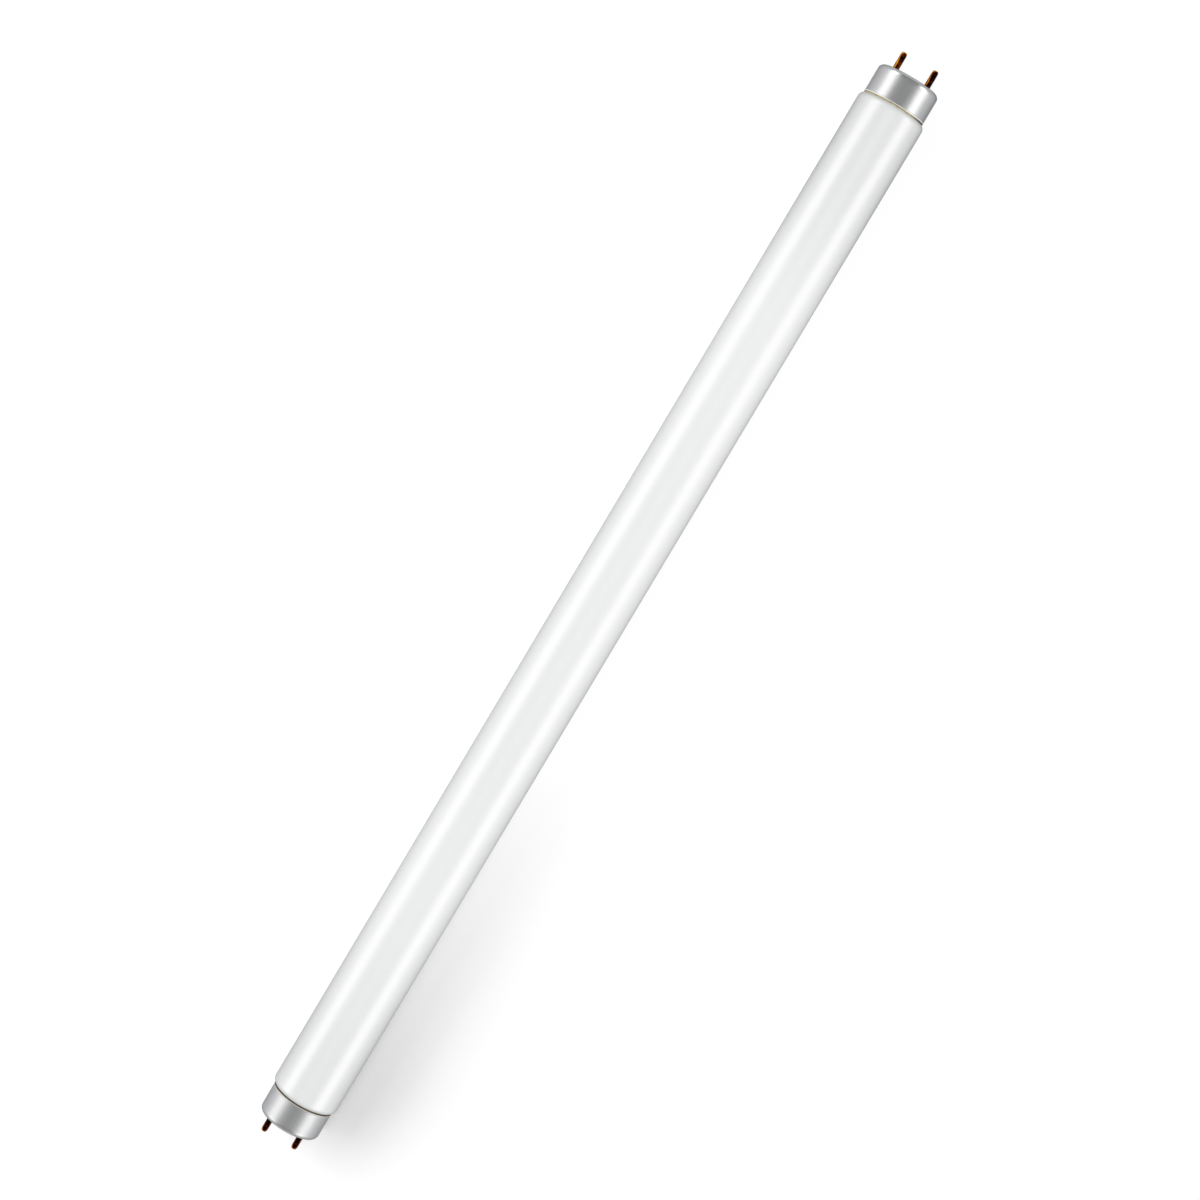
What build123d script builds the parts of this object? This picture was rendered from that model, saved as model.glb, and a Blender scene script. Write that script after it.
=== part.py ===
from build123d import *
from math import cos, radians, sin, tan
import os

# Ultraviolet tube lamp: a sealed glass tube with a two-pin aluminium cap cemented on each end.
# Millimetres. The tube lies along X with the origin at its middle, and each pair of pins lies
# side by side along Y. Each end is drawn with x = 0 on the outer face of its cap, x pointing out.

# Glass tube
lamp_length = 437.4        # over the outer faces of the two caps
tube_diameter = 26.0
neck_step = 1.95           # drop in radius from the tube to the neck under the cap
shoulder_round = 2.6       # outward round of the shoulder, seen beside the cap
shoulder_angle = 54.0      # slope of the cone below that round, in degrees
neck_lip = 1.2             # width of the rounded glass rim at the end of the neck
base_space = 2.2           # room between the pin plate and the end of the glass

# Glass stem, sunk into each end of the tube
flare_length = 8.0         # cone from the mouth of the neck down to the stem
stem_depth = 15.0          # from the end of the neck to the floor of the stem
stem_gap = 2.6             # space between the exhaust tip and the wall of the stem
stem_round = 0.8
exhaust_tip_diameter = 3.6
exhaust_tip_length = 10.0

# Aluminium cap
cap_length = 11.3
cap_wall = 0.4
cap_corner = 2.0           # outer round between the side and the end face
rim_flat = 0.55            # flat part of the turned-in rim
lip_width = 0.5            # raised lip round the open edge
lip_height = 0.1

# Capping cement
cement_thickness = 0.4     # between the neck and the cap
seam_gap = 0.15            # from the inner edge of the cap along the tube to the shoulder
seam_depth = 0.05          # how far the cement stays below the side of the cap

# Insulating pin plate
plate_edge = 0.8           # straight side of the plate behind its bevel
plate_clearance = 0.05     # between the plate and the cap round it

# Contact pins
pin_diameter = 2.35
pin_spacing = 12.7
pin_length = 7.1           # beyond the end face of the cap
pin_wall = 0.45
pin_clearance = 0.02       # between the pin and its hole in the plate
tip_length = 1.3           # rounded end of the pin
tip_rim = 0.55             # width of the flat ring round the wire at the tip
collar_width = 0.5         # rim of the collar that bears on the plate
collar_height = 0.6
rivet_width = 0.4          # turned-over end behind the plate
rivet_height = 0.4
crimp_length = 3.4         # stretch behind the tip that grips the wire
crimp_taper = 0.6
dimple_setback = 2.3       # from the tip to the crimping marks
dimple_radius = 0.9
dimple_depth = 0.35

# Lead wires
wire_diameter = 0.6
wire_clearance = 0.02      # between the wire and the crimped bore
wire_bend = 3.0
wire_setback = 0.1         # end of the wire below the tip of the pin

# Radii and places that follow
tube_radius = tube_diameter / 2
neck_radius = tube_radius - neck_step
cap_inner_radius = neck_radius + cement_thickness
cap_radius = cap_inner_radius + cap_wall
inner_corner = cap_corner - cap_wall
opening_radius = cap_radius - cap_corner - rim_flat
plate_radius = cap_inner_radius - plate_clearance
plate_back = -cap_corner - plate_edge
neck_end = plate_back - base_space
exhaust_tip_radius = exhaust_tip_diameter / 2
stem_radius = exhaust_tip_radius + stem_gap
stem_floor = neck_end - stem_depth
exhaust_tip_end = stem_floor + exhaust_tip_length
flare_foot = neck_end - flare_length
pin_radius = pin_diameter / 2
pin_offset = pin_spacing / 2
bore_radius = pin_radius - pin_wall
wire_radius = wire_diameter / 2
wire_offset = exhaust_tip_radius + stem_gap / 2
grip_radius = wire_radius + wire_clearance
crimp_end = pin_length - crimp_length

# Below its round the shoulder is a straight cone, which passes the edge of the cap at the seam gap
slope = tan(radians(shoulder_angle))
round_drop = shoulder_round * (1 - cos(radians(shoulder_angle)))
round_run = shoulder_round * sin(radians(shoulder_angle))
seam_radius = cap_radius - seam_depth


def on_cone(radius):
    return Vector(-cap_length - seam_gap - (radius - cap_inner_radius) / slope, radius)


shoulder_foot = on_cone(neck_radius)
round_end = on_cone(tube_radius - round_drop)
shoulder_top = Vector(round_end.X - round_run, tube_radius)


def turned(*outline):
    return revolve(make_face(outline), axis=Axis.X)


def half_glass():
    middle = -lamp_length / 2
    end = FilletPolyline(
        (exhaust_tip_end, 0),
        (exhaust_tip_end, exhaust_tip_radius),
        (stem_floor, exhaust_tip_radius),
        (stem_floor, stem_radius),
        (flare_foot, stem_radius),
        (neck_end, neck_radius - neck_lip),
        (neck_end, neck_radius),
        shoulder_foot,
        round_end,
        radius=[stem_round, 0, stem_round, flare_length / 2, neck_lip / 3, neck_lip / 3, 0],
    )
    shoulder = TangentArc(shoulder_top, round_end, tangent=(1, 0))
    side = Polyline(shoulder_top, (middle, tube_radius), (middle, 0), (exhaust_tip_end, 0))
    return turned(end, shoulder, side)


def cap():
    lip_radius = cap_radius + lip_height
    lip_start = lip_width - cap_length
    outline = FilletPolyline(
        (0, opening_radius),
        (0, cap_radius),
        (lip_start, cap_radius),
        (lip_start - lip_height, lip_radius),
        (-cap_length, lip_radius),
        (-cap_length, cap_inner_radius),
        (-cap_wall, cap_inner_radius),
        (-cap_wall, opening_radius),
        radius=[0, cap_corner, 0, 0, 0, 0, inner_corner, 0],
        close=True,
    )
    return turned(outline)


def cement():
    outline = Polyline(
        (neck_end - neck_lip, neck_radius),
        (neck_end - neck_lip, cap_inner_radius),
        (-cap_length, cap_inner_radius),
        (-cap_length, seam_radius),
        on_cone(seam_radius),
        shoulder_foot,
        close=True,
    )
    return turned(outline)


def pin_plate():
    boss_radius = opening_radius - plate_clearance
    outline = Polyline(
        (0, 0),
        (0, boss_radius),
        (-cap_wall, boss_radius),
        (-cap_wall, plate_radius - inner_corner),
        (-cap_corner, plate_radius),
        (plate_back, plate_radius),
        (plate_back, 0),
        close=True,
    )
    hole = Rot(0, 90, 0) * Cylinder(pin_radius + pin_clearance, -plate_back)
    holes = [Pos(plate_back / 2, y, 0) * hole for y in (-pin_offset, pin_offset)]
    return turned(outline) - holes


def pin():
    collar_radius = pin_radius + collar_width
    rivet_radius = pin_radius + rivet_width
    tip_start = pin_length - tip_length
    tip_radius = grip_radius + tip_rim
    tip = TangentArc((tip_start, pin_radius), (pin_length, tip_radius), tangent=(1, 0))
    outline = Polyline(
        (pin_length, tip_radius),
        (pin_length, grip_radius),
        (crimp_end, grip_radius),
        (crimp_end - crimp_taper, bore_radius),
        (plate_back - rivet_height, bore_radius),
        (plate_back - rivet_height, rivet_radius),
        (plate_back, rivet_radius),
        (plate_back, pin_radius),
        (0, pin_radius),
        (0, collar_radius),
        (collar_height, collar_radius),
        (collar_height, pin_radius),
        (tip_start, pin_radius),
    )
    punch_height = pin_radius - dimple_depth + dimple_radius
    punch = Pos(pin_length - dimple_setback, 0, 0) * Sphere(dimple_radius)
    punches = [Pos(0, 0, z) * punch for z in (-punch_height, punch_height)]
    return turned(tip, outline) - punches


def lead_wire(side):
    route = FilletPolyline(
        (stem_floor, side * wire_offset),
        (flare_foot, side * wire_offset),
        (neck_end, side * pin_offset),
        (pin_length - wire_setback, side * pin_offset),
        radius=wire_bend,
    )
    section = Plane(route @ 0, z_dir=route % 0) * Circle(wire_radius)
    return sweep(section, path=route)


# The right half, built at its own end and moved out to half the length of the lamp
to_end = Pos(lamp_length / 2, 0, 0)
end_pieces = {"cap": cap(), "pin_plate": pin_plate(), "cement": cement()}
for row, side in (("front", -1), ("rear", 1)):
    end_pieces[f"{row}_pin"] = Pos(0, side * pin_offset, 0) * pin()
    end_pieces[f"{row}_lead_wire"] = lead_wire(side)

# The left end is the right end turned half round, so front stays front
half_turn = Rot(0, 180, 0)
right_glass = to_end * half_glass()
solids = {"glass_tube": right_glass + half_turn * right_glass}
for name, piece in end_pieces.items():
    solids[f"right_{name}"] = to_end * piece
    solids[f"left_{name}"] = half_turn * to_end * piece

os.makedirs("parts", exist_ok=True)
for node, solid in solids.items():
    export_step(solid, f"parts/{node}.step")
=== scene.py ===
import bpy
import numpy as np
from mathutils import Matrix, Vector


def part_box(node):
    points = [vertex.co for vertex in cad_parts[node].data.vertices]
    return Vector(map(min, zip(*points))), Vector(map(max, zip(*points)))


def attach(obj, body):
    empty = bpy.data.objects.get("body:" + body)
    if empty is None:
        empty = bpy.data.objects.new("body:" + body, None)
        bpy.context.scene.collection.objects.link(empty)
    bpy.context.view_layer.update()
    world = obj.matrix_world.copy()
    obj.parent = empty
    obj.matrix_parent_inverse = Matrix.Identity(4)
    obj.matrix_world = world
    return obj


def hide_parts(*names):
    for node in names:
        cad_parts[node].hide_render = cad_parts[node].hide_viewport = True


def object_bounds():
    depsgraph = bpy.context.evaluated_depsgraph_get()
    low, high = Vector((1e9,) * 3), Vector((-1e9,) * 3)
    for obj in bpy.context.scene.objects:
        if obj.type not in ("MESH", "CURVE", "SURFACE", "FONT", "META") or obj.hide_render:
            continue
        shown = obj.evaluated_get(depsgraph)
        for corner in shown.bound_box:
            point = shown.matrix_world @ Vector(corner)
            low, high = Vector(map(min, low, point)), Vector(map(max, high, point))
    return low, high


# Two-pin tube lamp lying on a white floor, seen from above. Sizes are millimetres until a mesh is made.
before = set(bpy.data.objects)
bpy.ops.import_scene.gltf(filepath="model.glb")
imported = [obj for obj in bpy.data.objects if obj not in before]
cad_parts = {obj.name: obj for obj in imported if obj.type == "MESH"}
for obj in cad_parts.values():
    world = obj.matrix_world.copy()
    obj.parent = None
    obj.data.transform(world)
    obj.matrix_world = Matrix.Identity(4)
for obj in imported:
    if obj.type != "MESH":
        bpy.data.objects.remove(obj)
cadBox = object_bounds()
mm = 0.001
pieces = bpy.data.collections.new("lampPieces")
bpy.context.scene.collection.children.link(pieces)
print("frame loaded,", len(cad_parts), "nodes")


def boxInMm(node):
    low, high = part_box(node)
    return np.array(low) / mm, np.array(high) / mm


_, glassHigh = boxInMm("glass_tube")
capLow, capHigh = boxInMm("right_cap")
cementLow, cementHigh = boxInMm("right_cement")
pinLow, pinHigh = boxInMm("right_rear_pin")
faceX = capHigh[0]                      # outer face of the right cap
floorZ = cadBox[0].z / mm
ends = {"left": -1, "right": 1}
rows = {"front": -1, "rear": 1}


# Rounded outline: each corner is (along, radius, round), and its round is the arc that touches both sides,
# middle = corner + round / sin(half angle) along the bisector, one point for every few degrees of turn
def roundedOutline(corners, degreesPerPoint):
    corner = np.array(corners, float)
    place = corner[:, :2]
    back = np.roll(place, 1, axis=0) - place
    ahead = np.roll(place, -1, axis=0) - place
    back /= np.linalg.norm(back, axis=1, keepdims=True)
    ahead /= np.linalg.norm(ahead, axis=1, keepdims=True)
    stretches = []
    for at, toBack, toAhead, size in zip(place, back, ahead, corner[:, 2]):
        if size == 0:
            stretches.append(at[None])
            continue
        half = np.arccos(np.clip(toBack @ toAhead, -1, 1)) / 2
        bisector = (toBack + toAhead) / np.linalg.norm(toBack + toAhead)
        middle = at + bisector * size / np.sin(half)
        first = at + toBack * size / np.tan(half) - middle
        last = at + toAhead * size / np.tan(half) - middle
        start = np.arctan2(first[1], first[0])
        turn = (np.arctan2(last[1], last[0]) - start + np.pi) % (2 * np.pi) - np.pi
        count = max(3, int(np.ceil(abs(np.degrees(turn)) / degreesPerPoint)) + 1)
        angle = start + turn * np.linspace(0, 1, count)
        stretches.append(middle + size * np.stack([np.cos(angle), np.sin(angle)], axis=1))
    return np.vstack(stretches)


# Extra points on the straight runs: one a hair from each end, so flats shade flat, and one every step
def finerOutline(outline, closed, step, hair=0.03, least=0.004):
    loop = np.vstack([outline, outline[:1]]) if closed else outline
    run = np.hypot(*np.diff(loop, axis=0).T)
    reach = np.concatenate([[0], np.cumsum(run)])
    longRun = run > 4 * hair
    stops = [reach, np.arange(0, reach[-1], step), reach[:-1][longRun] + hair, reach[1:][longRun] - hair]
    where = np.unique(np.concatenate(stops))
    where = where[np.diff(where, prepend=-1.0) > least]
    if closed:
        where = where[where < reach[-1] - least]
    return np.stack([np.interp(where, reach, loop[:, k]) for k in (0, 1)], axis=1)


# Turned surface: point(i, j) = (along i, centre + radius i * cos(angle j), radius i * sin(angle j)).
# A closed outline joins its last ring to its first, an open one ends in a pole on the axis at each end.
def turnedMesh(name, outline, closed, around, centre=0.0, reshape=None):
    along, radius = outline.T
    angle = np.linspace(0, 2 * np.pi, around, endpoint=False)
    grid = np.stack([
        np.repeat(along[:, None], around, axis=1),
        centre + radius[:, None] * np.cos(angle),
        radius[:, None] * np.sin(angle),
    ], axis=-1)
    if reshape:
        grid = reshape(grid)
    rings = grid if closed else grid[1:-1]
    points = rings.reshape(-1, 3)
    ringCount = len(rings)
    i, j = np.meshgrid(np.arange(ringCount if closed else ringCount - 1), np.arange(around), indexing="ij")
    nextI, nextJ = (i + 1) % ringCount, (j + 1) % around
    corner = [i * around + j, i * around + nextJ, nextI * around + nextJ, nextI * around + j]
    quads = np.stack(corner, axis=-1).reshape(-1, 4)
    fans = np.zeros((0, 3), int)
    if not closed:
        first, last = len(points), len(points) + 1
        points = np.vstack([points, grid[[0, -1], 0]])
        ring = np.arange(around)
        ringNext = (ring + 1) % around
        lastRing = (ringCount - 1) * around
        fans = np.vstack([
            np.stack([ringNext, ring, np.full(around, first)], axis=1),
            np.stack([lastRing + ring, lastRing + ringNext, np.full(around, last)], axis=1),
        ])
    triangles = np.vstack([quads[:, [0, 1, 2]], quads[:, [0, 2, 3]], fans])
    a, b, c = (points[triangles[:, k]] for k in range(3))
    volume = np.einsum("ij,ij->i", a, np.cross(b, c)).sum()
    if volume < 0:                      # its sign says which way the faces point
        quads, fans = quads[:, ::-1], fans[:, ::-1]
    mesh = bpy.data.meshes.new(name)
    mesh.from_pydata((points * mm).tolist(), [], quads.tolist() + fans.tolist())
    mesh.polygons.foreach_set("use_smooth", np.ones(len(mesh.polygons), bool))
    mesh.update()
    return mesh


def addPiece(name, mesh, material, node):
    piece = bpy.data.objects.new(name, mesh)
    pieces.objects.link(piece)
    mesh.materials.append(material)
    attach(piece, "root")
    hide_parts(node)


class Wiring:
    # Short ways to add nodes to a material, a shared group or the room
    def __init__(self, tree):
        self.nodes, self.links = tree.nodes, tree.links

    def add(self, kind, **settings):
        node = self.nodes.new("ShaderNode" + kind)
        for label, value in settings.items():
            setattr(node, label, value)
        return node

    def plug(self, socket, value):
        if isinstance(value, bpy.types.NodeSocket):
            self.links.new(value, socket)
        else:
            socket.default_value = value

    def maths(self, operation, *values):
        node = self.add("Math", operation=operation)
        for socket, value in zip(node.inputs, values):
            self.plug(socket, value)
        return node.outputs[0]

    def between(self, mask, low, high, start=0.0, stop=1.0, curve="LINEAR"):
        node = self.add("MapRange", interpolation_type=curve)
        values = {"Value": mask, "From Min": start, "From Max": stop, "To Min": low, "To Max": high}
        for label, value in values.items():
            self.plug(node.inputs[label], value)
        return node.outputs["Result"]

    def apart(self, vector):
        node = self.add("SeparateXYZ")
        self.plug(node.inputs[0], vector)
        return node.outputs

    def rays(self):
        path = self.add("LightPath").outputs
        mirrored = self.maths("MAXIMUM", path["Is Glossy Ray"], path["Is Transmission Ray"])
        return path["Is Camera Ray"], mirrored


def sharedGroup(name, starts):
    group = bpy.data.node_groups.new(name, "ShaderNodeTree")
    group.interface.new_socket("Vector", in_out="INPUT", socket_type="NodeSocketVector")
    for label, value in starts.items():
        socket = group.interface.new_socket(label, in_out="INPUT", socket_type="NodeSocketFloat")
        socket.default_value = value
    group.interface.new_socket("Mask", in_out="OUTPUT", socket_type="NodeSocketFloat")
    given = group.nodes.new("NodeGroupInput").outputs
    result = group.nodes.new("NodeGroupOutput").inputs["Mask"]
    return group, Wiring(group), given, result


# Shared grain: noise in millimetres, drawn out along the tube by Stretch, then spread between Low and High
def grainGroup():
    starts = {"Scale": 1.0, "Stretch": 1.0, "Detail": 2.0, "Low": 0.3, "High": 0.7}
    group, tree, given, result = sharedGroup("surfaceGrain", starts)
    stretch, noise = tree.add("CombineXYZ"), tree.add("TexNoise")
    drawn = tree.add("VectorMath", operation="MULTIPLY")
    for socket, value in zip(stretch.inputs, (given["Stretch"], 1.0, 1.0)):
        tree.plug(socket, value)
    for socket, value in zip(drawn.inputs, (given["Vector"], stretch.outputs[0])):
        tree.plug(socket, value)
    noiseInputs = {"Vector": drawn.outputs[0], "Scale": given["Scale"], "Detail": given["Detail"]}
    for label, value in noiseInputs.items():
        tree.plug(noise.inputs[label], value)
    tree.plug(result, tree.between(noise.outputs["Fac"], 0.0, 1.0, given["Low"], given["High"]))
    return group


# Shared line round the lamp: one at the distance Place from the lamp's middle, zero at Width from there
def lineGroup():
    group, tree, given, result = sharedGroup("lineRound", {"Place": 0.0, "Width": 1.0})
    length = tree.maths("ABSOLUTE", tree.apart(given["Vector"])["X"])
    offset = tree.maths("ABSOLUTE", tree.maths("SUBTRACT", length, given["Place"]))
    tree.plug(result, tree.between(offset, 1.0, 0.0, 0.0, given["Width"], "SMOOTHSTEP"))
    return group


grain, lineRound = grainGroup(), lineGroup()


class Finish(Wiring):
    # A material with its shader, and short ways to add grain, colour steps and bump to it
    def __init__(self, name, start=(0, 0, 0), **settings):
        self.material = bpy.data.materials.new(name)
        self.material.use_nodes = True
        super().__init__(self.material.node_tree)
        self.shader = self.nodes["Principled BSDF"]
        for label, value in settings.items():
            self.shader.inputs[label.replace("_", " ")].default_value = value
        inMm = self.add("Mapping")
        inMm.inputs["Scale"].default_value = (1 / mm,) * 3
        inMm.inputs["Location"].default_value = [-place for place in start]
        self.plug(inMm.inputs["Vector"], self.add("TexCoord").outputs["Object"])
        self.place = inMm.outputs["Vector"]

    def mask(self, group, **values):
        node = self.add("Group", node_tree=group)
        self.plug(node.inputs["Vector"], self.place)
        for label, value in values.items():
            self.plug(node.inputs[label.capitalize()], value)
        return node.outputs["Mask"]

    def grain(self, **values):
        return self.mask(grain, **values)

    def over(self, mask, below, colour):
        mix = self.add("Mix", data_type="RGBA")
        for number, value in ((0, mask), (6, below), (7, (*colour, 1.0))):      # its colour sockets
            self.plug(mix.inputs[number], value)
        return mix.outputs[2]

    def steps(self, mask, *stops):
        ramp = self.add("ValToRGB")
        spare = len(stops) - len(ramp.color_ramp.elements)
        for _ in range(spare):
            ramp.color_ramp.elements.new(0.5)
        for element, (place, colour) in zip(ramp.color_ramp.elements, stops):
            element.position = place
            element.color = (*colour, 1.0)
        self.plug(ramp.inputs["Fac"], mask)
        return ramp.outputs["Color"]

    def bump(self, mask, depth):
        node = self.add("Bump")
        node.inputs["Distance"].default_value = depth * mm
        self.plug(node.inputs["Height"], mask)
        self.set("Normal", node.outputs["Normal"])

    def set(self, label, value):
        self.plug(self.shader.inputs[label], value)


# Glass tube: white coating under smooth glass, with painted shade that greys it toward its ends, more so at
# the right one
glass = {
    "neckStep": 1.95, "shoulderRound": 2.6, "shoulderAngle": 54.0, "footRound": 0.3,
    "neckLip": 1.2, "rimRound": 0.4, "flareLength": 8.0, "flareRound": 4.0,
    "stemDepth": 15.0, "stemRadius": 4.4, "stemRound": 0.8, "tipRadius": 1.8, "tipLength": 10.0,
    "seamGap": 0.15, "cementThickness": 0.4, "around": 288, "step": 20.0, "turnStep": 5.0,
    "white": (0.945, 0.955, 0.972), "thinWhite": (0.925, 0.937, 0.953), "gloss": (0.38, 0.44),
    "wallTint": (0.787, 0.79, 0.788, 1.0), "wallWeight": (0.69, 1.0), "wallIor": 1.025, "ior": 1.85,
    "endLength": 95.0, "endShare": (0.5, 1.0), "endHalf": 60.0, "endGloss": 0.12,
}
tubeRadius = glassHigh[1]
neckRadius = tubeRadius - glass["neckStep"]
capInnerRadius = neckRadius + glass["cementThickness"]
shoulderSlope = np.tan(np.radians(glass["shoulderAngle"]))
footX = capLow[0] - glass["seamGap"] + glass["cementThickness"] / shoulderSlope


def glassFinish():
    finish = Finish(
        "coatedGlass", Specular_IOR_Level=1.0, IOR=glass["ior"],
        Coat_IOR=glass["wallIor"], Coat_Tint=glass["wallTint"])
    patches = finish.grain(scale=0.02, stretch=0.4, detail=3.0, low=0.3, high=0.7)
    finish.set("Base Color", finish.steps(patches, (0.0, glass["thinWhite"]), (1.0, glass["white"])))
    along = finish.apart(finish.place)["X"]
    share = finish.between(along, *glass["endShare"], -glass["endHalf"], glass["endHalf"])
    nearEnd = finish.mask(lineRound, place=footX, width=glass["endLength"])
    nearEnd = finish.maths("MULTIPLY", nearEnd, share)
    # Painted shade: the coat weighs more toward the ends and greys the tube there; the roughness drops
    # there so the highlights stay bright
    finish.set("Coat Weight", finish.between(nearEnd, *glass["wallWeight"]))
    gloss = finish.between(patches, *glass["gloss"])
    finish.set("Roughness", finish.maths("MULTIPLY_ADD", nearEnd, -glass["endGloss"], gloss))
    return finish.material


def glassOutline():
    neckEnd = glassHigh[0]
    stemFloor = neckEnd - glass["stemDepth"]
    tipEnd = stemFloor + glass["tipLength"]
    half = [
        (tipEnd, 0, 0),
        (tipEnd, glass["tipRadius"], glass["stemRound"]),
        (stemFloor, glass["tipRadius"], 0),
        (stemFloor, glass["stemRadius"], glass["stemRound"]),
        (neckEnd - glass["flareLength"], glass["stemRadius"], glass["flareRound"]),
        (neckEnd, neckRadius - glass["neckLip"], glass["rimRound"]),
        (neckEnd, neckRadius, glass["rimRound"]),
        (footX, neckRadius, glass["footRound"]),
        (footX - glass["neckStep"] / shoulderSlope, tubeRadius, glass["shoulderRound"]),
    ]
    otherHalf = [(-x, radius, size) for x, radius, size in reversed(half)]
    return finerOutline(roundedOutline(half + otherHalf, glass["turnStep"]), False, glass["step"])


tubeMesh = turnedMesh("coatedTube", glassOutline(), False, glass["around"])
addPiece("coatedTube", tubeMesh, glassFinish(), "glass_tube")
print("glass tube made")

# Aluminium caps: drawn shells with a round corner, a turned-in rim and a raised lip at the open edge
cap = {
    "wall": 0.4, "corner": 2.0, "rimFlat": 0.55, "lipWidth": 0.5, "lipHeight": 0.1, "edgeRound": 0.06,
    "lipRound": 0.1, "beadRound": 0.2, "around": 288, "step": 1.0, "turnStep": 5.0,
    "bright": (0.525, 0.53, 0.54), "dull": (0.485, 0.49, 0.50), "edgeTint": (0.45, 0.45, 0.47, 1.0),
    "gloss": {"left": (0.42, 0.48), "right": (0.34, 0.4)},
    "lipHighlight": {"left": (0.86, 0.86, 0.82), "right": (0.97, 0.97, 0.95)}, "burrGloss": 0.8,
    "smearAndShading": {"left": (0.09, 0.058, 0.027), "right": (0.50, 0.45, 0.31)},
    "grooveShade": {"left": (0.26, 0.26, 0.25), "right": (0.34, 0.34, 0.35)},
    "lipLine": 0.25, "grooveShadeLine": 0.2, "smearAndShadingLine": 0.26, "burnish": 0.22, "lineDepth": 0.002,
    "burrShare": 0.7,                   # place on the lip, of its width
    "burnishShare": 1 / 3,              # place on the corner, of its round
}


def capFinish(end):
    finish = Finish(end + "CapAluminium", Metallic=1.0, Specular_Tint=cap["edgeTint"])
    drawLines = finish.grain(scale=6.0, stretch=0.02, detail=2.0, low=0.3, high=0.7)
    # Cement smeared over the open edge, with painted shade darkening it at the left end and painted light
    # lightening it at the right
    edge = finish.mask(lineRound, place=capLow[0], width=cap["smearAndShadingLine"])
    # The lip is lighter, partly its rubbed metal and partly a painted highlight
    lip = finish.mask(lineRound, place=capLow[0] + cap["lipWidth"] * cap["burrShare"], width=cap["lipLine"])
    # Painted shade in the groove behind the lip
    groove = finish.mask(lineRound, place=capLow[0] + cap["lipWidth"], width=cap["grooveShadeLine"])
    colour = finish.steps(drawLines, (0.0, cap["dull"]), (1.0, cap["bright"]))
    for mask, shading in ((groove, "grooveShade"), (lip, "lipHighlight"), (edge, "smearAndShading")):
        colour = finish.over(mask, colour, cap[shading][end])
    finish.set("Base Color", colour)
    cornerX = faceX - cap["corner"] * cap["burnishShare"]
    corner = finish.mask(lineRound, place=cornerX, width=cap["corner"])
    gloss = finish.between(drawLines, *cap["gloss"][end])
    gloss = finish.maths("MULTIPLY_ADD", corner, -cap["burnish"], gloss)
    finish.set("Roughness", finish.between(lip, gloss, cap["burrGloss"]))
    finish.bump(drawLines, cap["lineDepth"])
    return finish.material


def capOutline(side):
    lipRadius = capHigh[1]
    capRadius = lipRadius - cap["lipHeight"]
    openX = capLow[0]
    lipStart = openX + cap["lipWidth"]
    openingRadius = capRadius - cap["corner"] - cap["rimFlat"]
    corners = [
        (faceX, openingRadius, cap["edgeRound"]),
        (faceX, capRadius, cap["corner"]),
        (lipStart, capRadius, cap["lipRound"]),
        (lipStart - cap["lipHeight"], lipRadius, cap["lipRound"]),
        (openX, lipRadius, cap["beadRound"]),
        (openX, capInnerRadius, cap["edgeRound"]),
        (faceX - cap["wall"], capInnerRadius, cap["corner"] - cap["wall"]),
        (faceX - cap["wall"], openingRadius, cap["edgeRound"]),
    ]
    outline = finerOutline(roundedOutline(corners, cap["turnStep"]), True, cap["step"])
    return outline * (side, 1)


for end, side in ends.items():
    capMesh = turnedMesh(end + "CapShell", capOutline(side), True, cap["around"])
    addPiece(end + "CapShell", capMesh, capFinish(end), end + "_cap")
print("caps made")

# Cement rings: fill the space between neck and cap, with an uneven bead in the seam,
# and painted shade that darkens them on the front side
cement = {
    "beadRound": 0.06, "unevenness": 0.06, "lumps": (17, 29, 53), "lumpDepth": 0.05,
    "around": 288, "step": 0.6, "turnStep": 15.0,
    # The left ring's browns are darkened by painted shade and the right ring's lightened by painted light:
    # one cement, shaded at one end and lit at the other
    "brown": {"left": (0.13, 0.075, 0.02), "right": (0.60, 0.51, 0.28)},
    "dark": {"left": (0.06, 0.032, 0.01), "right": (0.35, 0.28, 0.14)}, "roughness": 0.85,
    "frontShade": (0.05, 0.035, 0.025), "frontShadeFrom": (-10.0, -6.5),
}


def cementFinish(end):
    finish = Finish(end + "CappingCement", Roughness=cement["roughness"])
    lumps = finish.grain(scale=1.6, detail=4.0, low=0.3, high=0.7)
    browns = finish.steps(lumps, (0.0, cement["dark"][end]), (1.0, cement["brown"][end]))
    # Painted shade on the front side of the ring
    front = finish.between(finish.apart(finish.place)["Y"], 1.0, 0.0, *cement["frontShadeFrom"])
    finish.set("Base Color", finish.over(front, browns, cement["frontShade"]))
    finish.bump(lumps, cement["lumpDepth"])
    return finish.material


# The bead sinks by the mean of three sines of the angle round the tube, only outside the cap
def unevenBead(grid):
    radius = np.hypot(grid[..., 1], grid[..., 2])
    angle = np.arctan2(grid[..., 2], grid[..., 1])
    wave = sum(np.sin(count * angle + count) for count in cement["lumps"]) / len(cement["lumps"])
    outside = np.abs(grid[..., 0]) < capLow[0]
    proud = np.clip((radius - capInnerRadius) / (cementHigh[1] - capInnerRadius), 0, 1)
    sunk = radius - np.where(outside, cement["unevenness"] * proud * (1 + wave) / 2, 0)
    return np.stack([grid[..., 0], sunk * np.cos(angle), sunk * np.sin(angle)], axis=-1)


def cementOutline(side):
    openX, innerX, seamRadius = capLow[0], cementHigh[0], cementHigh[1]
    corners = [
        (innerX, neckRadius, 0),
        (innerX, capInnerRadius, 0),
        (openX, capInnerRadius, 0),
        (openX, seamRadius, cement["beadRound"]),
        (cementLow[0], seamRadius, cement["beadRound"]),
        (footX, neckRadius, 0),
    ]
    outline = finerOutline(roundedOutline(corners, cement["turnStep"]), True, cement["step"])
    return outline * (side, 1)


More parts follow.
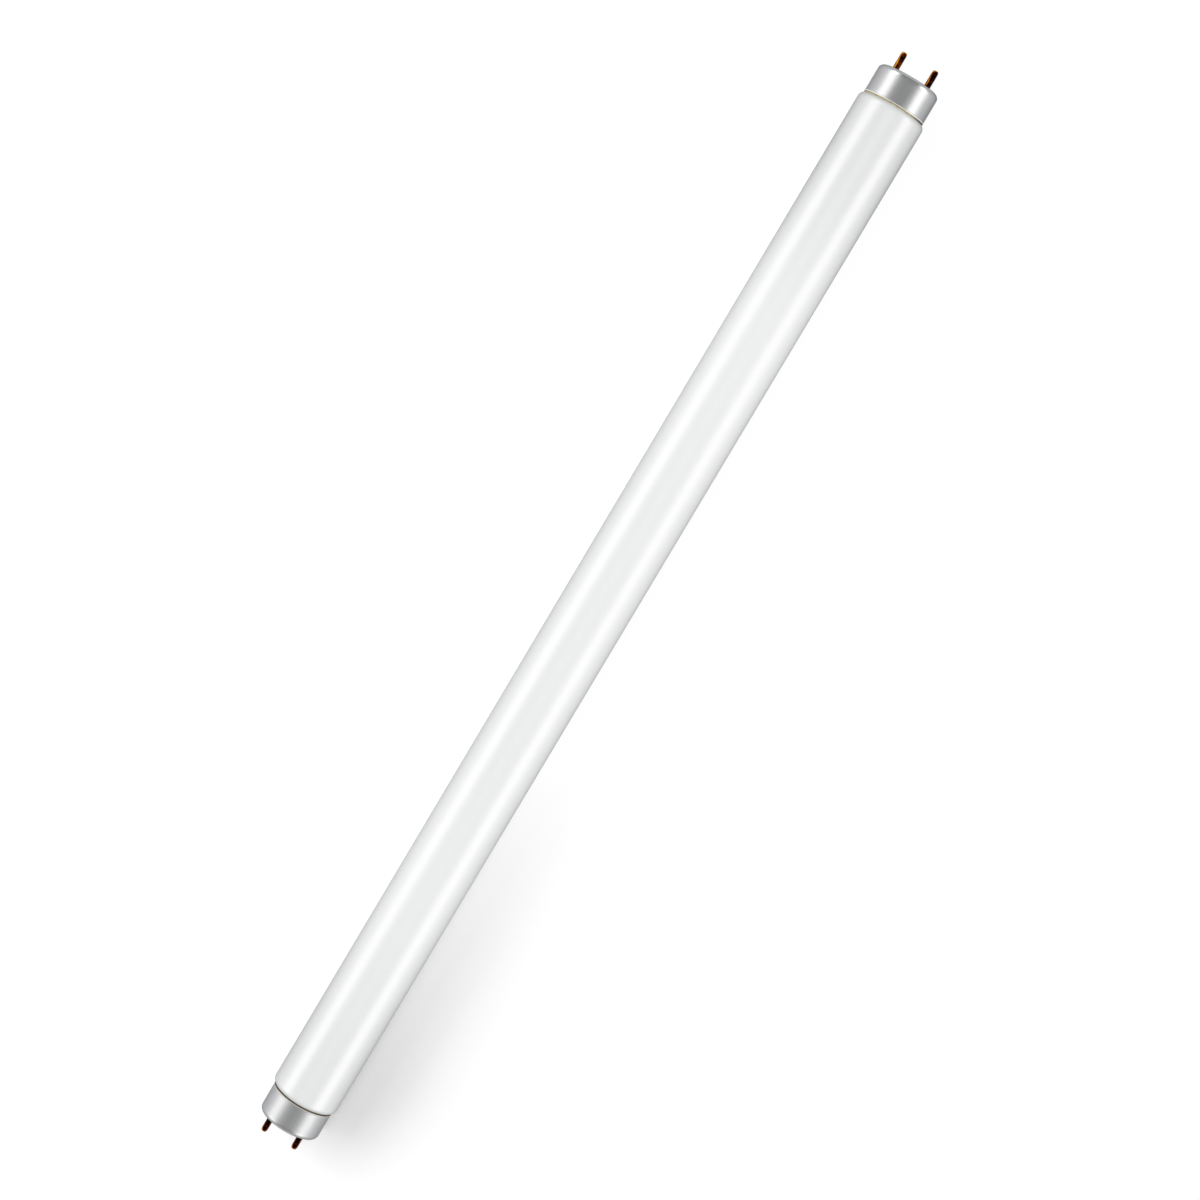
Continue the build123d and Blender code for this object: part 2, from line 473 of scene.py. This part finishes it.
for end, side in ends.items():
    ring = cementOutline(side)
    ringMesh = turnedMesh(end + "CementRing", ring, True, cement["around"], reshape=unevenBead)
    addPiece(end + "CementRing", ringMesh, cementFinish(end), end + "_cement")
print("cement rings made")

# Contact pins: hollow, round-nosed, crimped on the wire by a dent above and below
pin = {
    "radius": 1.175, "wall": 0.45, "gripRadius": 0.32, "tipRim": 0.55, "noseLength": 1.3,
    "noseShare": 0.95, "tipRound": 0.04, "collarWidth": 0.5, "collarHeight": 0.6, "collarRound": 0.15,
    "collarFillet": 0.075, "rivetWidth": 0.4, "rivetHeight": 0.4, "gripLength": 3.4, "gripTaper": 0.6,
    "dentSetback": 2.3, "dentRadius": 0.9, "dentDepth": 0.35, "around": 80, "step": 0.1, "turnStep": 6.0,
    "gloss": (0.26, 0.42), "streakDepth": 0.02,
    "brassShading": (
        (0.3, (0.005, 0.002, 0.001)),      # black
        (0.44, (0.13, 0.014, 0.001)),      # red
        (0.62, (0.27, 0.08, 0.003)),       # amber
        (0.82, (0.50, 0.225, 0.006)),      # gold
    ),
}
# How strongly each pin shows its painted light and shade, and its own streaks (Spread)
leftPinShading = {"base": 0.20, "lean": 0.0, "rim": 0.28, "spread": 0.3, "tip": 0.45, "dent": 0.22}
pinStreaksAndShading = {
    "rightRear": {"base": 0.42, "lean": 0.24, "rim": 0.10, "spread": 0.8, "tip": 0.55, "dent": -0.5},
    "rightFront": {"base": 0.30, "lean": 0.26, "rim": 0.06, "spread": 0.8, "tip": 0.5, "dent": -0.4},
    "leftRear": leftPinShading,
    "leftFront": leftPinShading,
}


# Painted light and shade on the pins: Base + Lean * across + Rim * across squared + Spread * (grain - half)
# + Tip near the pin's end + Dent in its crimping marks, where across is the sideways distance from the
#   pin's axis
# in pin radii. Base darkens the brass as a painted dark reflection, Lean paints one side lighter, Rim
# paints a reflection along the sides, Tip a highlight at the nose, and Dent paints shade into the crimp
# marks where below zero and light where above zero. Spread alone is the brass's own streaky tone.
def pinStreaksAndShadingGroup():
    starts = {"Grain": 0.5, "Base": 0.0, "Lean": 0.0, "Rim": 0.0, "Spread": 0.0, "Tip": 0.0, "Dent": 0.0}
    group, tree, given, result = sharedGroup("pinStreakShading", starts)
    along, sideways, _ = tree.apart(given["Vector"])
    across = tree.maths("DIVIDE", sideways, pin["radius"])
    fromTip = tree.maths("ABSOLUTE", along)
    fromDent = tree.maths("SUBTRACT", fromTip, pin["dentSetback"])
    dentSquare = tree.maths("MULTIPLY_ADD", fromDent, fromDent, tree.maths("MULTIPLY", sideways, sideways))
    tip = tree.between(fromTip, 1.0, 0.0, 0.0, pin["noseLength"], "SMOOTHSTEP")
    dent = tree.between(tree.maths("SQRT", dentSquare), 1.0, 0.0, 0.0, pin["dentRadius"], "SMOOTHSTEP")
    total = tree.maths("MULTIPLY_ADD", across, given["Lean"], given["Base"])
    total = tree.maths("MULTIPLY_ADD", tree.maths("MULTIPLY", across, across), given["Rim"], total)
    total = tree.maths("MULTIPLY_ADD", tree.maths("SUBTRACT", given["Grain"], 0.5), given["Spread"], total)
    total = tree.maths("MULTIPLY_ADD", tip, given["Tip"], total)
    total = tree.maths("MULTIPLY_ADD", dent, given["Dent"], total)
    tree.plug(result, total)
    return group


pinStreakShading = pinStreaksAndShadingGroup()


def pinFinish(name, tipX, centre, values):
    finish = Finish(name + "Brass", start=(tipX, centre, 0), Metallic=1.0)
    streaks = finish.grain(scale=1.3, stretch=0.3, detail=2.0, low=0.28, high=0.72)
    # Painted light and shade over the brass's own streaks
    brassShading = finish.mask(pinStreakShading, grain=streaks, **values)
    finish.set("Base Color", finish.steps(brassShading, *pin["brassShading"]))
    finish.set("Roughness", finish.between(streaks, *pin["gloss"]))
    finish.bump(streaks, pin["streakDepth"])
    return finish.material


# Dents: where a point lies inside a ball above or below the pin, it moves on to the surface of that ball,
# height = ball height - root of (ball radius squared - distance from the ball's upright axis squared)
def dented(centre, dentX):
    def reshape(grid):
        x, y, z = grid[..., 0], grid[..., 1], grid[..., 2]
        ballHeight = pin["radius"] - pin["dentDepth"] + pin["dentRadius"]
        spare = pin["dentRadius"] ** 2 - (x - dentX) ** 2 - (y - centre) ** 2
        outer = np.hypot(y - centre, z) > pin["gripRadius"] + pin["tipRim"]
        limit = ballHeight - np.sqrt(np.clip(spare, 0, None))
        inside = (spare > 0) & outer & (np.abs(z) > limit)
        return np.stack([x, y, np.where(inside, np.sign(z) * limit, z)], axis=-1)
    return reshape


def pinOutline(side):
    radius, plateX = pin["radius"], pinLow[0] + pin["rivetHeight"]
    tipX, collarX = pinHigh[0], faceX + pin["collarHeight"]
    boreRadius = radius - pin["wall"]
    tipRadius = pin["gripRadius"] + pin["tipRim"]
    drop = radius - tipRadius
    arcRadius = (pin["noseLength"] ** 2 + drop ** 2) / (2 * drop)      # arc that leaves the side in line
    noseX = tipX - pin["noseLength"] + arcRadius * np.tan(np.arcsin(pin["noseLength"] / arcRadius) / 2)
    gripX = tipX - pin["gripLength"]
    corners = [
        (tipX, pin["gripRadius"], pin["tipRound"]),
        (gripX, pin["gripRadius"], 0),
        (gripX - pin["gripTaper"], boreRadius, 0),
        (pinLow[0], boreRadius, 0),
        (pinLow[0], radius + pin["rivetWidth"], pin["collarRound"]),
        (plateX, radius + pin["rivetWidth"], 0),
        (plateX, radius, 0),
        (faceX, radius, 0),
        (faceX, radius + pin["collarWidth"], 0),
        (collarX, radius + pin["collarWidth"], pin["collarRound"]),
        (collarX, radius, pin["collarFillet"]),
        (noseX, radius, arcRadius * pin["noseShare"]),                 # leaves room for the tip's own round
        (tipX, tipRadius, pin["tipRound"]),
    ]
    outline = finerOutline(roundedOutline(corners, pin["turnStep"]), True, pin["step"])
    return outline * (side, 1)


pinOffset = (pinLow[1] + pinHigh[1]) / 2
dentX = pinHigh[0] - pin["dentSetback"]
for end, side in ends.items():
    for row, way in rows.items():
        label, centre = end + row.capitalize(), way * pinOffset
        dents = dented(centre, side * dentX)
        pinMesh = turnedMesh(label + "Pin", pinOutline(side), True, pin["around"], centre, dents)
        pinMaterial = pinFinish(label + "Pin", side * pinHigh[0], centre, pinStreaksAndShading[label])
        addPiece(label + "Pin", pinMesh, pinMaterial, f"{end}_{row}_pin")
print("contact pins made")

# Pin plates and lead wires keep their solids
plate = {
    "brown": (0.16, 0.085, 0.045), "dark": (0.09, 0.045, 0.022), "gloss": (0.4, 0.55), "mottleDepth": 0.01,
}
wire = {"bright": (0.52, 0.50, 0.46), "dull": (0.30, 0.28, 0.25), "gloss": (0.3, 0.5)}


def plateFinish():
    finish = Finish("mouldedPlate")
    mottle = finish.grain(scale=0.9, detail=5.0, low=0.35, high=0.65)
    finish.set("Base Color", finish.steps(mottle, (0.0, plate["dark"]), (1.0, plate["brown"])))
    finish.set("Roughness", finish.between(mottle, *plate["gloss"]))
    finish.bump(mottle, plate["mottleDepth"])
    return finish.material


def wireFinish():
    finish = Finish("drawnWire", Metallic=1.0)
    lines = finish.grain(scale=8.0, stretch=0.05, detail=2.0, low=0.3, high=0.7)
    finish.set("Base Color", finish.steps(lines, (0.0, wire["dull"]), (1.0, wire["bright"])))
    finish.set("Roughness", finish.between(lines, *wire["gloss"]))
    return finish.material


def dressNode(node, material):
    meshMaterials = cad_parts[node].data.materials
    meshMaterials.clear()
    meshMaterials.append(material)


plateMaterial, wireMaterial = plateFinish(), wireFinish()
for end in ends:
    dressNode(end + "_pin_plate", plateMaterial)
    for row in rows:
        dressNode(f"{end}_{row}_lead_wire", wireMaterial)
print("plates and wires dressed")

# Floor: white to the camera, pale in reflections. Shade is where it shows the lamp's shadow: at the left
# end, and along the line on which the tube lies. Elsewhere, and far off, its colour gives way to its glow
floor = {
    "half": 6000.0, "pale": 0.6, "lift": 0.2, "leftEnd": (-190.0, -60.0), "underTube": (6.0, 11.0),
    "underLength": (205.0, 216.0), "far": (250.0, 400.0),
    "seenPale": (0.1, 0.85), "seenLift": (0.93, 0.155),      # outside and inside the shade
}
stage = bpy.data.collections.new("stage")
bpy.context.scene.collection.children.link(stage)


def floorFinish():
    finish = Finish("paleFloor", Roughness=1.0, Specular_IOR_Level=0.0, Emission_Color=(1, 1, 1, 1))
    along, across, _ = finish.apart(finish.place)
    reach = finish.add("VectorMath", operation="LENGTH")
    finish.plug(reach.inputs[0], finish.place)
    leftEnd = finish.between(along, 1.0, 0.0, *floor["leftEnd"])
    beneath = finish.between(finish.maths("ABSOLUTE", across), 1.0, 0.0, *floor["underTube"])
    length = finish.between(finish.maths("ABSOLUTE", along), 1.0, 0.0, *floor["underLength"])
    shade = finish.maths("MAXIMUM", leftEnd, finish.maths("MULTIPLY", beneath, length))
    near = finish.between(reach.outputs["Value"], 1.0, 0.0, *floor["far"])
    seenPale = finish.between(near, 0.0, finish.between(shade, *floor["seenPale"]))
    seenLift = finish.between(near, 1.0, finish.between(shade, *floor["seenLift"]))
    camera, mirrored = finish.rays()
    finish.set("Base Color", finish.between(camera, floor["pale"], seenPale))
    lift = finish.between(mirrored, 0.0, floor["lift"])
    finish.set("Emission Strength", finish.between(camera, lift, seenLift))
    return finish.material


def makeFloor():
    half, z = floor["half"], floorZ
    mesh = bpy.data.meshes.new("paleFloor")
    square = np.array([(-half, -half, z), (half, -half, z), (half, half, z), (-half, half, z)]) * mm
    mesh.from_pydata(square.tolist(), [], [(0, 1, 2, 3)])
    mesh.materials.append(floorFinish())
    plane = bpy.data.objects.new("paleFloor", mesh)
    stage.objects.link(plane)


makeFloor()
print("floor made")

# Light: a long soft strip on each side of the lamp, in line with it and slightly warm, two white ones that
# light only the floor and give the shadow, a soft fill from above that isn't mirrored, and a grey room
warm, white = (1.0, 0.993, 0.955), (1.0, 1.0, 1.0)
onLamp, onFloor = {"colour": warm, "onlyOn": pieces}, {"colour": white, "onlyOn": stage}
longStrip = {"length": 3600.0, "width": 890.0, "radiance": 1.7}
lamps = {
    "leftStrip": {"tilt": 61.5, **longStrip, **onLamp},
    "rightStrip": {"tilt": -61.5, **longStrip, **onLamp},
    "floorStrip": {"tilt": 61.5, **longStrip, **onFloor},
    "shadowStrip": {"tilt": 47.0, "length": 1200.0, "width": 900.0, "radiance": 1.92, **onFloor},
}
lampDistance = 1500.0
wattsPerArea = 4.0                      # watts a square metre of an area lamp, for a radiance of one
fill = {"level": 0.225, "softness": 30.0}
room = {"zenith": 0.43, "horizon": 0.27, "rise": 0.5, "white": (0.1, 0.3)}


def addStrip(name, tilt, length, width, radiance, colour, onlyOn):
    lamp = bpy.data.lights.new(name, "AREA")
    lamp.shape = "RECTANGLE"
    lamp.size, lamp.size_y = length * mm, width * mm
    lamp.energy = radiance * wattsPerArea * lamp.size * lamp.size_y
    lamp.color = colour
    holder = bpy.data.objects.new(name, lamp)
    lean = np.radians(tilt)
    holder.location = Vector((0, np.sin(lean), np.cos(lean))) * lampDistance * mm
    holder.rotation_euler = (-lean, 0, 0)
    holder.visible_camera = False
    holder.light_linking.receiver_collection = onlyOn
    bpy.context.scene.collection.objects.link(holder)


def addFill():
    lamp = bpy.data.lights.new("ceilingFill", "SUN")
    lamp.energy = fill["level"] * np.pi
    lamp.angle = np.radians(fill["softness"])
    holder = bpy.data.objects.new("ceilingFill", lamp)
    holder.visible_glossy = False
    bpy.context.scene.collection.objects.link(holder)


addFill()
for name, values in lamps.items():
    addStrip(name, **values)


# Room: grey overhead, darker toward the horizon, by the upward part of each direction. The camera sees it
# white, and the lamp mirrors it white low down
def makeRoom():
    world = bpy.data.worlds.new("greyRoom")
    world.use_nodes = True
    sky = Wiring(world.node_tree)
    upward = sky.apart(sky.add("TexCoord").outputs["Object"])["Z"]
    grey = sky.between(upward, room["horizon"], room["zenith"], 0.0, room["rise"])
    camera, mirrored = sky.rays()
    low = sky.between(upward, 1.0, 0.0, *room["white"])
    white = sky.maths("MAXIMUM", camera, sky.maths("MULTIPLY", mirrored, low))
    sky.plug(sky.nodes["Background"].inputs["Color"], sky.between(white, grey, 1.0))
    bpy.context.scene.world = world


makeRoom()
print("lights made")

# Camera: above the lamp, the upper end of the picture at the lamp's right end
camera = {
    "place": (104.7, 0.3, 980.5), "lookAt": (5.5, 0.0, 0.0), "turn": 30.67,
    "lens": 82.58, "sensor": 36.0, "clipEnd": 50000.0,
}


def addCamera():
    data = bpy.data.cameras.new("photoCamera")
    data.lens, data.sensor_width = camera["lens"], camera["sensor"]
    data.clip_end = camera["clipEnd"] * mm
    holder = bpy.data.objects.new("photoCamera", data)
    place = Vector(camera["place"]) * mm
    ahead = (Vector(camera["lookAt"]) * mm - place).normalized()
    turn = np.radians(camera["turn"])
    right = ahead.cross(Vector((np.cos(turn), np.sin(turn), 0))).normalized()
    up = right.cross(ahead)
    axes = Matrix((right, up, -ahead)).transposed()
    holder.matrix_world = Matrix.Translation(place) @ axes.to_4x4()
    bpy.context.scene.collection.objects.link(holder)
    bpy.context.scene.camera = holder


addCamera()
bpy.context.scene.view_settings.view_transform = "Standard"
bpy.context.view_layer.update()
